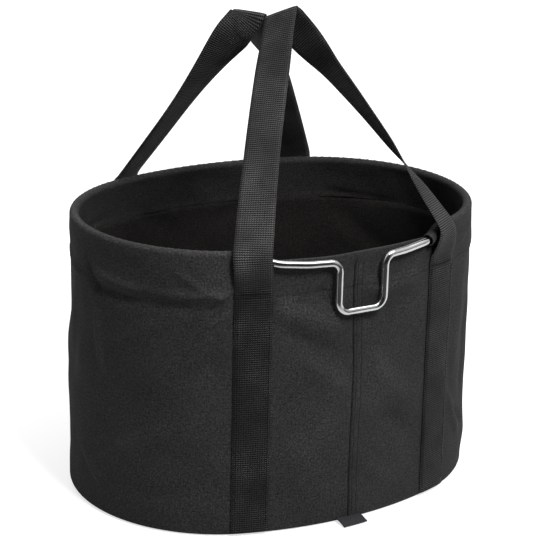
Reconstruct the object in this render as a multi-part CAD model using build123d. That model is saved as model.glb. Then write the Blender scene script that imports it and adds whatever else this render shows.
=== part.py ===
from build123d import *
from math import acos, cos, degrees, radians, sin, sqrt
import os

# Handlebar basket: an oval cloth basket whose rim is held open by a steel rod.
# The rod leaves the rim tunnel on the rear side and dips into a U that hooks into
# a handlebar adapter.  Two webbing handles run from the base seam over the rim.
#
# Frame: origin on the ground at the middle of the base, X along the oval's long
# axis, the hanger on the -Y side, +Z up.  All sizes in millimetres.

# ---- driving dimensions -------------------------------------------------------
length = 350.0            # outside, along X
depth = 261.0             # outside, along Y
height = 237.0            # ground to the top of the rim
end_radius = 122.0        # radius of the oval's two ends

cloth = 1.2               # shell cloth, coated polyester
lining_cloth = 0.6        # thin inner skin
skin_gap = 0.3            # air between sewn layers
base_cloth = 1.5          # oval bottom panel
board_thickness = 3.0     # stiffening board that lies in the base
board_margin = 9.0        # board edge to the shell's outside
base_tape_width = 14.0    # binding over the base seam, inside
base_tape_thickness = 0.8
seam_tape_width = 22.0    # binding over the rear centre seam, inside
hem_depth = 38.0          # rim edge down to the hem's stitch line
hem_facing = 0.8          # turned-in cloth on the inside of the rim

rod = 6.0                 # diameter of the frame rod
tunnel_outer = 7.8        # outside diameter of the rim tunnel
tunnel_bore = 6.4         # free bore of the rim tunnel
rod_drop = 9.2            # how far the bare rod lies below the rod in the tunnel
mouth_rise = (0.8, 3.2)   # how far it climbs again, at the slight bend and at the mouth
rod_stand_off = 4.2       # bare rod's centre outside the shell
hanger_width = 42.0       # between the centres of the U's legs
hanger_drop = 41.5        # from the bare rod down to the U's bottom rod
hanger_shift = 2.5        # the ring sits this far along X in its tunnel
hanger_top_bend = 8.0     # centre-line radii of the bends
hanger_low_bend = 9.0
mouth_left = 76.0         # where the tunnel ends on either side of the bare rod
mouth_right = 70.0
rod_turn_start = 92.0     # the rod starts to swing out of the rim here
rod_turn_end = 68.0       # and lies outside the shell from here

strap_width = 30.0
strap_thickness = 1.5
strap_x = 87.5            # strap centres, either side of their middle
strap_shift = 2.0         # both pairs of straps sit this far along X
strap_bottom = 3.0        # lower end of the sewn legs
hinge_height = 206.0      # top of the sewn legs, where the handles start to bend
hinge_gap = 1.5           # free webbing starts this far above the sewn legs
hinge_out = 124.5         # the handle's fold line, from the middle
tack_length = 24.0        # a bar tack across the top of each sewn leg
tack_width = 2.0
tack_thickness = 0.5
tack_drop = 2.5           # below the hinge height

tag_width = 22.0          # woven tag in the base seam
tag_length = 14.0
tag_thickness = 0.8

# ---- the oval ------------------------------------------------------------------
half_length = length / 2
half_depth = depth / 2
end_centre = half_length - end_radius
side_radius = (end_centre**2 + half_depth**2 - end_radius**2) / (2 * (half_depth - end_radius))
side_centre = side_radius - half_depth
join_angle = degrees(acos(end_centre / (side_radius - end_radius)))   # where arcs meet


def oval_edges(offset=0.0):
    """The oval as four tangent arcs, grown outwards by offset."""
    ends = end_radius + offset
    sides = side_radius + offset
    return [
        CenterArc((end_centre, 0), ends, -join_angle, 2 * join_angle),
        CenterArc((0, -side_centre), sides, join_angle, 180 - 2 * join_angle),
        CenterArc((-end_centre, 0), ends, 180 - join_angle, 2 * join_angle),
        CenterArc((0, side_centre), sides, 180 + join_angle, 180 - 2 * join_angle),
    ]


def oval_slab(offset, bottom, top):
    """A solid oval from one height to another."""
    face = make_face(Wire(oval_edges(offset)))
    return Pos(0, 0, bottom) * extrude(face, top - bottom)


def oval_band(outer, inner, bottom, top):
    """A hollow oval band between two offsets."""
    return oval_slab(outer, bottom, top) - oval_slab(inner, bottom - 1, top + 1)


def side_y(x, offset=0.0):
    """Distance from the X axis to the long side at x."""
    if abs(x) <= side_radius * cos(radians(join_angle)):
        return sqrt((side_radius + offset) ** 2 - x**2) - side_centre
    return sqrt((end_radius + offset) ** 2 - (abs(x) - end_centre) ** 2)


def side_slope(x):
    """Turn of the long side's face at x, in degrees."""
    return degrees(acos(sqrt(1 - (x / side_radius) ** 2))) * (1 if x > 0 else -1)


def only(parts):
    """One solid out of a boolean result."""
    solids = parts.solids()
    assert len(solids) == 1, len(solids)
    return solids[0]


# ---- levels and offsets of the layers -------------------------------------------
tunnel_height = height - tunnel_outer / 2
shell_top = tunnel_height - tunnel_outer / 2 - skin_gap
lining_offset = -cloth - skin_gap
facing_offset = lining_offset - lining_cloth - skin_gap
facing_bottom = height - hem_depth
base_lining_offset = -cloth - 2 * skin_gap - base_tape_thickness


# ---- frame ring and its tunnel --------------------------------------------------
rod_inset = -tunnel_outer / 2
bare_height = tunnel_height - rod_drop
turn_x = 100.0            # the tunnel's plain arcs end here, on the oval's ends
turn_bend = 24.0          # bends where the rod swings out of the rim
sweep_x = 45.0            # middle of the slight bend in the bare rod beside the U
sweep_bend = 90.0


def bare_point(x, rise):
    """A point of the rod's centre line outside the shell, on the rear side."""
    return Vector(x, -side_y(x, rod_stand_off), bare_height + rise)


def plain_arcs():
    """The rod's line round the front, from the rear right to the rear left."""
    ends = end_radius + rod_inset
    sweep = degrees(acos((turn_x - end_centre) / ends))
    right = CenterArc((end_centre, 0, tunnel_height), ends, -sweep, sweep + join_angle)
    front = CenterArc((0, -side_centre, tunnel_height), side_radius + rod_inset,
                      join_angle, 180 - 2 * join_angle)
    left = CenterArc((-end_centre, 0, tunnel_height), ends, 180 - join_angle, join_angle + sweep)
    return [right, front, left]


def turn_points(side):
    """The rod's bends from the rim tunnel out to the bare stretch, on one side."""
    ends = end_radius + rod_inset
    angle = acos((turn_x - end_centre) / ends)
    start = Vector(side * turn_x, -ends * sin(angle), tunnel_height)
    along = Vector(-side * sin(angle), -cos(angle), 0)
    inner = start + along * (turn_x - rod_turn_start)
    outer = bare_point(side * rod_turn_end, mouth_rise[1])
    return [start, inner, outer]


def hanger_points():
    """The corners of the U, from left to right."""
    plane_y = -(half_depth + rod_stand_off)
    left = hanger_shift - hanger_width / 2
    right = hanger_shift + hanger_width / 2
    low = bare_height - hanger_drop
    return [
        Vector(left, plane_y, bare_height),
        Vector(left, plane_y, low),
        Vector(right, plane_y, low),
        Vector(right, plane_y, bare_height),
    ]


def bare_line():
    """The rod's line through the bare stretch, from one end of the plain arcs to the other."""
    left = turn_points(-1) + [bare_point(-sweep_x, mouth_rise[0])]
    right = turn_points(1) + [bare_point(sweep_x, mouth_rise[0])]
    half_radii = [turn_bend, turn_bend, sweep_bend, hanger_top_bend, hanger_low_bend]
    return FilletPolyline(*left, *hanger_points(), *right[::-1], radius=half_radii + half_radii[::-1])


def round_bar(line, diameter):
    """A round bar along a line."""
    start = Plane(origin=line @ 0, z_dir=line % 0)
    return sweep(start * Circle(diameter / 2), path=line)


def make_frame_ring():
    """The closed rod: three plain arcs in the tunnel and the bare stretch with its U."""
    ring = round_bar(bare_line(), rod)
    for arc in plain_arcs():
        ring += round_bar(arc, rod)
    return only(ring)


def tunnel_tail(side, mouth):
    """The end of the tunnel that follows the rod out to its mouth."""
    start, inner, outer = turn_points(side)
    line = FilletPolyline(start, inner, outer, radius=turn_bend)
    tail = round_bar(line, tunnel_outer) - round_bar(line, tunnel_bore)
    reach = 60.0
    cut = Pos(side * (mouth - reach / 2), -half_depth, tunnel_height) * Box(reach, 90, 60)
    return tail - cut


def tail_clearance():
    """Room in the cloth layers where the tunnel's ends pass out over their edge."""
    room = []
    for side in (-1, 1):
        line = FilletPolyline(*turn_points(side), radius=turn_bend)
        room.append(round_bar(line, tunnel_outer + 2 * skin_gap))
    return room


def make_rim_tunnel():
    """The cloth tunnel round the rod, open between its two mouths."""
    tunnel = tunnel_tail(-1, mouth_left) + tunnel_tail(1, mouth_right)
    for arc in plain_arcs():
        tunnel += round_bar(arc, tunnel_outer) - round_bar(arc, tunnel_bore)
    return only(tunnel)


# ---- shell, lining, base --------------------------------------------------------
def make_shell():
    """The outer cloth wall, open at the top and closed below by the base panel."""
    return only(oval_band(0, -cloth, 0, shell_top) - tail_clearance())


def make_base_panel():
    """The oval cloth bottom, sewn inside the foot of the wall."""
    return oval_slab(-cloth - 0.05, 0, base_cloth)


def make_lining():
    """The thin inner skin of the wall, from the base tape to the hem."""
    bottom = base_cloth + base_tape_width + 2 * skin_gap
    band = oval_band(lining_offset, lining_offset - lining_cloth, bottom, shell_top)
    return only(band - tail_clearance())


def make_rim_facing():
    """The turned-in hem on the inside of the rim."""
    band = oval_band(facing_offset, facing_offset - hem_facing, facing_bottom, shell_top)
    return only(band - tail_clearance())


def make_base_board():
    """The stiffening board that lies loose on the base panel."""
    bottom = base_cloth + skin_gap
    board = oval_slab(-board_margin, bottom, bottom + board_thickness)
    return fillet(board.edges().group_by(Axis.Z)[-1], 1.0)


def make_base_lining():
    """The inner skin over the board, sewn in with the base seam."""
    bottom = base_cloth + board_thickness + 2 * skin_gap
    return oval_slab(base_lining_offset, bottom, bottom + lining_cloth)


def make_base_seam_tape():
    """The binding that covers the base seam all round, on the inside."""
    bottom = base_cloth + skin_gap
    outer = -cloth - skin_gap
    return only(oval_band(outer, outer - base_tape_thickness, bottom, bottom + base_tape_width))


def make_rear_seam_tape():
    """The binding over the rear centre seam, between the base tape and the hem."""
    bottom = base_cloth + base_tape_width + 3 * skin_gap
    top = facing_bottom - skin_gap
    band = oval_band(facing_offset, facing_offset - hem_facing, bottom, top)
    keep = Pos(0, -half_depth, (bottom + top) / 2) * Box(seam_tape_width, 30, top - bottom + 2)
    return only(band & keep)


# ---- straps ---------------------------------------------------------------------
def strap_centre(side_x):
    """The X of a strap's centre line."""
    return side_x * strap_x + strap_shift


def make_sewn_leg(side_x, side_y_sign):
    """A strap leg sewn on the shell, from the base seam up to the hinge line."""
    gap = 0.05
    band = oval_band(gap + strap_thickness, gap, strap_bottom, hinge_height)
    x = strap_centre(side_x)
    turn = -side_y_sign * side_slope(x)
    centre = Pos(x, side_y_sign * side_y(x), height / 2)
    keep = centre * Rot(0, 0, turn) * Box(strap_width, 20, height + 10)
    return only(band & keep)


def make_bar_tacks():
    """A row of dense stitching across the top of each sewn leg."""
    tacks = []
    out = strap_thickness + 0.2 + tack_thickness / 2
    for side_x in (-1, 1):
        for sign in (-1, 1):
            x = strap_centre(side_x)
            slope = side_slope(x)
            place = Pos(
                x + out * sin(radians(slope)),
                sign * (side_y(x) + out * cos(radians(slope))),
                hinge_height - tack_drop,
            )
            tacks.append(place * Rot(0, 0, -sign * slope) * Box(tack_length, tack_thickness, tack_width))
    return tacks


# ---- handles --------------------------------------------------------------------
# A handle is one flat ribbon: up from the left foot, folded back over a short crest,
# and down to the right foot.  Each leg is a cubic curve; the ribbon turns about it
# from lying flat on the wall at the rim to the direction of the crest at the top.
rim_clear = 235.5         # the free legs start to lean inwards at this height
leg_pull = 0.33           # straightness of a leg, as a share of its length
leg_top = 0.93            # last cross-section of a leg, as a share of its length
foot_stand_off = 1.2      # centre of the free webbing outside the shell, at its foot
fold_radius = 3.0         # of the webbing's centre over the crest


def ribbon_section(centre, along, across, width=strap_width):
    """The webbing's cross-section at a point of its centre line."""
    flat = across - along * across.dot(along)
    plane = Plane(origin=centre, x_dir=flat, z_dir=along)
    return plane * Rectangle(width, strap_thickness)


def leg_sections(top, crest_line, side_x, sign, stand_off, inward, bow, turns):
    """Cross-sections of one leg, from its foot to just below the crest.

    turns lists the direction across the ribbon, in degrees about Z, at even steps
    from the rim upwards; stand_off is the centre's distance from the shell, inward
    how far the leg has moved in along X at the rim, and bow how far its control
    points bulge outwards from the straight line to the crest.
    """
    x = strap_centre(side_x)
    waist_x = x - side_x * inward * 0.4
    rim_x = x - side_x * inward
    foot = Vector(x, sign * side_y(x, foot_stand_off), hinge_height + hinge_gap)
    waist = Vector(waist_x, sign * side_y(waist_x, stand_off), (hinge_height + rim_clear) / 2)
    rim = Vector(rim_x, sign * side_y(rim_x, stand_off), rim_clear)
    chord = top - rim
    outward = Vector(side_x * bow, 0, 0)
    curve = Bezier(rim, rim + chord * leg_pull + outward, top - chord * leg_pull + outward, top)
    travel = -side_x
    on_wall = -sign * side_slope(x) - (180 if side_x > 0 else 0)
    flat_on_wall = Vector(1, 0, 0).rotate(Axis.Z, on_wall)
    sections = [ribbon_section(point, Vector(0, 0, travel), flat_on_wall) for point in (foot, waist)]
    for i, turn in enumerate(turns):
        place = leg_top * i / len(turns)
        across = Vector(1, 0, 0).rotate(Axis.Z, turn)
        sections.append(ribbon_section(curve @ place, curve % place * travel, across))
    sections.append(ribbon_section(curve @ leg_top, curve % leg_top * travel, crest_line))
    return sections


def make_handle(sign, crest, crest_line, stand_off, left, right):
    """The free loop of one handle; left and right give each leg's lean-in, bow and turns."""
    over = Vector(-crest_line.Y, crest_line.X, 0).normalized()
    up = crest_line.cross(over).normalized()
    near = crest - over * fold_radius
    far = crest + over * fold_radius
    fold = [
        ribbon_section(near, up, crest_line, crest_line.length),
        ribbon_section(crest + up * fold_radius, over, crest_line, crest_line.length),
        ribbon_section(far, -up, crest_line, crest_line.length),
    ]
    rising = leg_sections(near, crest_line, -1, sign, stand_off, *left)
    falling = leg_sections(far, crest_line, 1, sign, stand_off, *right)
    return only(loft(rising + fold + falling[::-1], ruled=True))


def make_rear_handle():
    """The hanger-side handle; its right leg makes most of a half turn."""
    return make_handle(
        -1, Vector(-4.4, -12.0, 395.0), Vector(16, -23, 12), 7.3,
        (-4.0, 4.0, [-28, -50, -58, -59, -61]),
        (1.0, 7.5, [-144, -134, -110, -95, -86, -76]),
    )


def make_front_handle():
    """The far-side handle; its right leg turns over behind the rear handle."""
    return make_handle(
        1, Vector(-17.0, 17.0, 391.0), Vector(13, -29, 0), 3.4,
        (9.0, 0.0, [26, 24, 22, 20, 11, -4]),
        (0.0, 2.0, [-197, -197, -196, -193, -140, -84]),
    )


# ---- tag -------------------------------------------------------------------------
tag_root = 3.2            # height of the tag's middle where it leaves the seam
tag_tip = 0.8             # and at its free end
seam_shift = -1.0         # the rear seam's place along X


def make_tag():
    """The plain woven tag caught in the base seam, sloping out to the ground."""
    fall = degrees(acos(sqrt(1 - ((tag_root - tag_tip) / tag_length) ** 2)))
    root = Pos(seam_shift, -(half_depth + tag_thickness), tag_root)
    reach = (Align.CENTER, Align.MAX, Align.CENTER)
    return root * Rot(fall, 0, 0) * Box(tag_width, tag_length, tag_thickness, align=reach)


# ---- the pieces --------------------------------------------------------------------
pieces = {
    "shell": make_shell(),
    "base_panel": make_base_panel(),
    "lining": make_lining(),
    "rim_facing": make_rim_facing(),
    "rim_tunnel": make_rim_tunnel(),
    "frame_ring": make_frame_ring(),
    "base_board": make_base_board(),
    "base_lining": make_base_lining(),
    "base_seam_tape": make_base_seam_tape(),
    "rear_seam_tape": make_rear_seam_tape(),
    "rear_left_strap": make_sewn_leg(-1, -1),
    "rear_right_strap": make_sewn_leg(1, -1),
    "front_left_strap": make_sewn_leg(-1, 1),
    "front_right_strap": make_sewn_leg(1, 1),
    "bar_tacks": Compound(children=make_bar_tacks()),
    "tag": make_tag(),
    "rear_handle": make_rear_handle(),
    "front_handle": make_front_handle(),
}

os.makedirs("parts", exist_ok=True)
for name, piece in pieces.items():
    export_step(piece, f"parts/{name}.step")
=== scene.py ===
import math

import bmesh
import bpy
import numpy as np
from mathutils import Matrix, Vector


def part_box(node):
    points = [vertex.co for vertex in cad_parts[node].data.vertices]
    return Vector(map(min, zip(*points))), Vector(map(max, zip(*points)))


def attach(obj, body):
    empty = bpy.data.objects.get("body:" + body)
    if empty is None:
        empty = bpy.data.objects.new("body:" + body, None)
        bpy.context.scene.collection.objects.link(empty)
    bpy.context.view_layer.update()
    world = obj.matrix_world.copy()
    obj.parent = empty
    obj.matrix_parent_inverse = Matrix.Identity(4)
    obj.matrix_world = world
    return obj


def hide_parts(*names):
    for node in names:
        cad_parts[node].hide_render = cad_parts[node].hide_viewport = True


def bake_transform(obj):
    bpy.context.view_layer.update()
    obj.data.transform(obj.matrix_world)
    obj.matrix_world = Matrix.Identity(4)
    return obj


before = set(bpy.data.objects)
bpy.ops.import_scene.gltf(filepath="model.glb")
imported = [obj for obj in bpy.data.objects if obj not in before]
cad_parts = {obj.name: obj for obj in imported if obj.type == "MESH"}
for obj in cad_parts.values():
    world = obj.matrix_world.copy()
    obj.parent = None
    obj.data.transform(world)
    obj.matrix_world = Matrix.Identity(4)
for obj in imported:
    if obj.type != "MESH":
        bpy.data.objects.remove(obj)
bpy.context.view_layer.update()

# A handlebar basket in woven cloth: wall with a rolled rim round a steel rod, two
# folded webbing handles, a rear seam, lining, base and tag.  Shapes are worked out in
# millimetres and go to metres in make_mesh.  The wall is mapped by (s, z): s runs
# round the oval from the middle of the rear side towards +X, z is the height.
MM = 0.001
TAU = 2 * math.pi


# ---- sizes taken from the frame ---------------------------------------------------
def node_box(node):
    """Lowest and highest corner of a CAD node, in millimetres."""
    low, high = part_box(node)
    return np.array(low) / MM, np.array(high) / MM


shell_high = node_box("shell")[1]
sewn_low, sewn_high = node_box("rear_left_strap")
base_lining_low, base_lining_high = node_box("base_lining")
tape_low, tape_high = node_box("base_seam_tape")
tag_low, tag_high = node_box("tag")

half_length = shell_high[0]
half_depth = shell_high[1]
roll_radius = 3.9
roll_height = node_box("rim_tunnel")[1][2] - roll_radius
bare_height = roll_height - 9.2           # centre of the bare rod beside the U
edge_height = shell_high[2]               # top of the plain cloth edge by the bare rod
facing_bottom = node_box("rim_facing")[0][2]
hinge_height = sewn_high[2]
strap_foot = sewn_low[2]
strap_width = 30.0
strap_half_thickness = 0.75
rib_pitch = 1.8                           # from rib to rib of the webbing
strap_x = 87.5                            # strap centres, either side of strap_shift
strap_shift = 2.0

# ---- the oval ---------------------------------------------------------------------
end_radius = 122.0
end_centre = half_length - end_radius
side_radius = (end_centre**2 + half_depth**2 - end_radius**2) / (2 * (half_depth - end_radius))
side_centre = side_radius - half_depth
join = math.acos(end_centre / (side_radius - end_radius))
side_half = side_radius * (math.pi / 2 - join)     # arc length of half a long side
end_full = end_radius * 2 * join                   # arc length of a whole end
around = 4 * side_half + 2 * end_full              # the whole way round


def oval(s):
    """Point and outward normal of the oval at arc length s."""
    s = np.mod(np.asarray(s, float) + around / 2, around) - around / 2
    side = np.sign(s) + (s == 0)
    t = np.abs(s)
    rear = t <= side_half
    bend = (t > side_half) & (t <= side_half + end_full)
    rear_angle = -math.pi / 2 + t / side_radius
    end_angle = -join + (t - side_half) / end_radius
    front_angle = join + (t - side_half - end_full) / side_radius
    angle = np.where(rear, rear_angle, np.where(bend, end_angle, front_angle))
    radius = np.where(bend, end_radius, side_radius)
    x = np.where(bend, end_centre, 0.0) + radius * np.cos(angle)
    y = np.where(rear, side_centre, np.where(bend, 0.0, -side_centre)) + radius * np.sin(angle)
    return np.stack([side * x, y], -1), np.stack([side * np.cos(angle), np.sin(angle)], -1)


def smooth(a, b, x):
    """0 below a, 1 above b, and a smooth rise between."""
    t = np.clip((np.asarray(x, float) - a) / (b - a), 0, 1)
    return t * t * (3 - 2 * t)


def unit(v):
    """Vectors of length 1 along the last axis."""
    v = np.asarray(v, float)
    return v / np.linalg.norm(v, axis=-1, keepdims=True)


def distances(line):
    """Distance gone along a line of points, at each point."""
    return np.concatenate([[0], np.cumsum(np.linalg.norm(np.diff(line, axis=0), axis=1))])


def sample(where, gone, rows):
    """Rows of numbers known at the distances gone, read off at other distances."""
    return np.stack([np.interp(where, gone, rows[:, k]) for k in range(rows.shape[1])], -1)


def flat_out(s):
    """The oval's outward normals at s, as vectors in space."""
    return np.pad(oval(s)[1], [(0, 0)] * np.ndim(s) + [(0, 1)])


def side_s(x, sign):
    """Arc length at x on a long side; sign is -1 on the rear side and 1 on the front."""
    from_middle = side_radius * math.asin(x / side_radius)
    return from_middle if sign < 0 else math.copysign(around / 2, x) - from_middle


strap_places = [side_s(side * strap_x + strap_shift, sign) for sign in (-1, 1) for side in (-1, 1)]


def wrapped(s, middle):
    """Signed distance round the oval from middle to s."""
    return np.mod(s - middle + around / 2, around) - around / 2


# ---- slack folds of the wall ------------------------------------------------------
def ripple(seed, count, low, high):
    """Random long waves over (s, z) that close round the oval, as rows of numbers."""
    draw = np.random.default_rng(seed)
    rows = []
    for _ in range(count):
        length = draw.uniform(low, high)
        turn = draw.uniform(0, TAU)
        turns_round = round(around / length * math.cos(turn))
        rows.append((turns_round * TAU / around, TAU / length * math.sin(turn), draw.uniform(0, TAU)))
    return rows


broad_waves = ripple(11, 9, 90, 190)
middle_waves = ripple(12, 14, 34, 70)
fine_waves = ripple(13, 18, 13, 26)


def waves(rows, s, z):
    """Sum of a ripple's waves at (s, z), about 1 high."""
    total = 0.0
    for kx, kz, phase in rows:
        total = total + np.cos(kx * s + kz * z + phase)
    return total / math.sqrt(len(rows))


# One crease: (s, z) from, (s, z) to, half width, height; a positive height is a ridge.
creases = [
    # rear side, left of the left strap: the hem's pull and the slack below it
    (-228, 206, -172, 201, 3.6, 1.5), (-172, 201, -106, 204, 3.4, 1.3),
    (-232, 196, -170, 191, 4.5, -1.6), (-170, 191, -108, 195, 4.5, -1.3),
    (-150, 222, -108, 199, 3.0, 0.9), (-132, 190, -105, 206, 2.6, 1.0),
    (-125, 176, -104, 190, 2.8, 0.8), (-222, 176, -214, 118, 4.0, 0.9),
    (-205, 150, -160, 182, 5.0, 0.8), (-150, 128, -112, 152, 6.0, -0.8),
    (-236, 214, -216, 186, 3.0, -1.0), (-245, 52, -214, 26, 4.0, 1.0),
    (-200, 60, -150, 92, 9.0, 1.0), (-178, 24, -118, 44, 8.0, -0.7),
    # rear side, between the straps: slack hanging from the rod
    (-80, 196, -12, 172, 11.0, 2.4), (-66, 176, -14, 146, 9.0, -1.2),
    (-35, 204, -22, 186, 6.0, -1.3), (-72, 222, -40, 214, 4.0, -0.5), (-48, 150, -6, 116, 9.0, 1.1),
    (12, 194, 64, 203, 8.5, 2.0), (16, 170, 64, 186, 8.0, -0.9),
    (14, 140, 58, 96, 10.0, 1.2), (24, 92, 66, 60, 9.0, -1.0),
    (-60, 60, -16, 92, 11.0, 1.0), (8, 52, 40, 24, 8.0, 0.8),
    # right end
    (116, 214, 150, 226, 3.6, 0.7), (112, 204, 160, 196, 5.0, -0.7),
    (118, 190, 176, 212, 5.5, 0.7), (128, 178, 122, 96, 7.0, 1.1),
    (150, 160, 146, 70, 8.0, -1.4), (112, 84, 136, 38, 4.0, 1.3),
    (122, 66, 150, 44, 3.5, -1.0), (190, 204, 250, 198, 4.0, 1.2),
    # front side and left end
    (300, 200, 372, 205, 4.0, 1.3), (310, 150, 360, 190, 8.0, 1.2),
    (430, 206, 480, 178, 7.0, 1.5), (-470, 176, -420, 204, 7.0, 1.3),
    (440, 110, 474, 70, 10.0, 1.1), (-380, 206, -300, 200, 4.0, 1.2),
    (-340, 160, -300, 110, 8.0, 1.1), (-290, 206, -240, 198, 4.0, 1.0),
    (330, 60, 380, 100, 10.0, 1.0), (-400, 50, -350, 90, 9.0, 0.9),
]


def folds(s, z):
    """Outward move of the slack cloth at (s, z)."""
    s = np.asarray(s, float)
    z = np.asarray(z, float)
    total = 0.95 * waves(broad_waves, s, z) + 0.42 * waves(middle_waves, s, z)
    total = total + 0.11 * waves(fine_waves, s, z) * (0.5 + 0.5 * waves(broad_waves, -s, z))
    for s0, z0, s1, z1, width, height in creases:
        ds = wrapped(s, s0)
        dz = z - z0
        run = np.array([s1 - s0, z1 - z0], float)
        length = np.hypot(*run)
        run = run / length
        along = (ds * run[0] + dz * run[1]) / length
        bow = 0.12 * length * np.clip(along, 0, 1) * (1 - np.clip(along, 0, 1))
        apart = -ds * run[1] + dz * run[0] + bow
        taper = smooth(-0.15, 0.3, along) * (1 - smooth(0.7, 1.15, along))
        total = total + 1.9 * height * taper * np.exp(-((apart / width) ** 2))
    hold = smooth(6, 34, z) * (1 - 0.85 * smooth(roll_height - 16, roll_height - 2, z))
    for strap_s in strap_places:
        beside = np.abs(wrapped(s, strap_s))
        hold = hold * (0.25 + 0.75 * smooth(12, 26, beside))
    return total * hold


seam_s = -1.0                    # the rear centre seam
seam_rows = (3.0, 7.4)           # its two rows of stitching, to the right of it
base_spread = 2.3                # the wall stands out this much more at its foot
foot_round = 4.0                 # rounding of the wall's lower edge
mouth_right = 70.0               # x where the rod leaves the tunnel
mouth_left = -76.0


def bare_share(s):
    """1 along the plain edge between the tunnel's mouths, 0 where the rod fills the roll."""
    right = 1 - smooth(72, 101, s)
    left = 1 - smooth(77, 101, -np.asarray(s, float))
    return np.minimum(right, left)


def tuck(s):
    """How far the edge is drawn in beside each mouth, to pass inside the rod."""
    s = np.asarray(s, float)
    right = smooth(70, 86, s) * (1 - smooth(88, 108, s))
    left = smooth(75, 88, -s) * (1 - smooth(90, 108, -s))
    return 3.6 * (right + left)


def wall_offset(s, z):
    """How far the wall's outer face stands outside the oval."""
    s = np.asarray(s, float)
    z = np.asarray(z, float)
    spread = base_spread * (1 - np.clip(z / roll_height, 0, 1))
    drawn = tuck(s) * smooth(208, 228, z)
    near_seam = wrapped(s, seam_s)
    lip = 0.12 * smooth(0.2, 1.6, near_seam) * (1 - smooth(8.5, 12, near_seam))
    for row in seam_rows:
        lip = lip - 0.16 * np.exp(-(((near_seam - row) / 0.9) ** 2))
    groove = -1.9 * np.exp(-((near_seam / 0.6) ** 2))
    hem = -0.45 * np.exp(-(((z - facing_bottom - 1.5) / 1.1) ** 2))
    hem = hem * (1 - smooth(226, 230, z))
    return spread + folds(s, z) - drawn + (lip + groove) * smooth(2, 8, z) + hem


def place(s, z, offset):
    """Points in space at (s, z), offset outside the oval; arrays broadcast."""
    s, z, offset = np.broadcast_arrays(s, z, offset)
    at, out = oval(s)
    flat = at + out * offset[..., None]
    return np.concatenate([flat, np.asarray(z, float)[..., None]], -1)


# ---- mesh making ------------------------------------------------------------------
def make_mesh(name, points, faces, uvs=None, weights=None):
    """A smooth-shaded object from millimetre points; uvs holds one pair per face corner.

    All its faces are turned outwards.
    """
    mesh = bpy.data.meshes.new(name)
    mesh.from_pydata((np.asarray(points) * MM).tolist(), [], faces)
    mesh.shade_smooth()
    if uvs is not None:
        layer = mesh.uv_layers.new(name="cloth")
        layer.data.foreach_set("uv", np.asarray(uvs, np.float32).ravel())
    if weights is not None:
        layer = mesh.attributes.new("worn", "FLOAT", "POINT")
        layer.data.foreach_set("value", np.asarray(weights, np.float32))
    mesh.validate()
    shape = bmesh.new()
    shape.from_mesh(mesh)
    bmesh.ops.recalc_face_normals(shape, faces=shape.faces)
    shape.to_mesh(mesh)
    shape.free()
    mesh.update()
    piece = bpy.data.objects.new(name, mesh)
    bpy.context.collection.objects.link(piece)
    return piece


def grid_faces(rows, columns, close_rows, close_columns):
    """Corner numbers (n, 4) of a grid of points, and the (row, column) steps of each corner."""
    last_row = rows if close_rows else rows - 1
    last_column = columns if close_columns else columns - 1
    i, j = np.meshgrid(np.arange(last_row), np.arange(last_column), indexing="ij")
    i, j = i.ravel(), j.ravel()
    steps = np.stack([np.stack([i, j], -1), np.stack([i + 1, j], -1),
                      np.stack([i + 1, j + 1], -1), np.stack([i, j + 1], -1)], 1)
    index = (steps[..., 0] % rows) * columns + steps[..., 1] % columns
    return index, steps


def grid_piece(name, points, u, v, close_rows=False, close_columns=False, weights=None, caps=False,
               swap=False):
    """An object from a (rows, columns, 3) grid.

    u and v are cloth millimetres along the rows' and the columns' steps; swap puts v first.
    """
    rows, columns = points.shape[:2]
    index, steps = grid_faces(rows, columns, close_rows, close_columns)
    uvs = np.stack([u[steps[..., 0]], v[steps[..., 1]]], -1).reshape(-1, 2)
    if swap:
        uvs = uvs[:, ::-1]
    faces = index.tolist()
    if caps:
        first = list(range(columns))[::-1]
        last = [(rows - 1) * columns + k for k in range(columns)]
        faces = faces + [first, last]
        uvs = np.concatenate([uvs, np.zeros((2 * columns, 2))])
    flat = points.reshape(-1, 3)
    return make_mesh(name, flat, faces, uvs, None if weights is None else weights.ravel())


def tube_points(path, radii, sides):
    """Rings of points round a path; radii is one number or one per point."""
    run = unit(np.gradient(path, axis=0))
    side = unit(np.cross(run, (0, 0, 1.0)))
    over = np.cross(side, run)
    angle = np.arange(sides) / sides * TAU
    radii = np.broadcast_to(radii, (len(path),))
    ring = np.cos(angle)[None, :, None] * side[:, None] - np.sin(angle)[None, :, None] * over[:, None]
    return path[:, None] + ring * radii[:, None, None]


def capped_tube(rings, sides, start):
    """Faces of a tube of rings with closed ends, whose points begin at number start."""
    faces = (grid_faces(rings, sides, False, True)[0] + start).tolist()
    last = start + (rings - 1) * sides
    return faces + [list(range(start, start + sides))[::-1], list(range(last, last + sides))]


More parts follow.
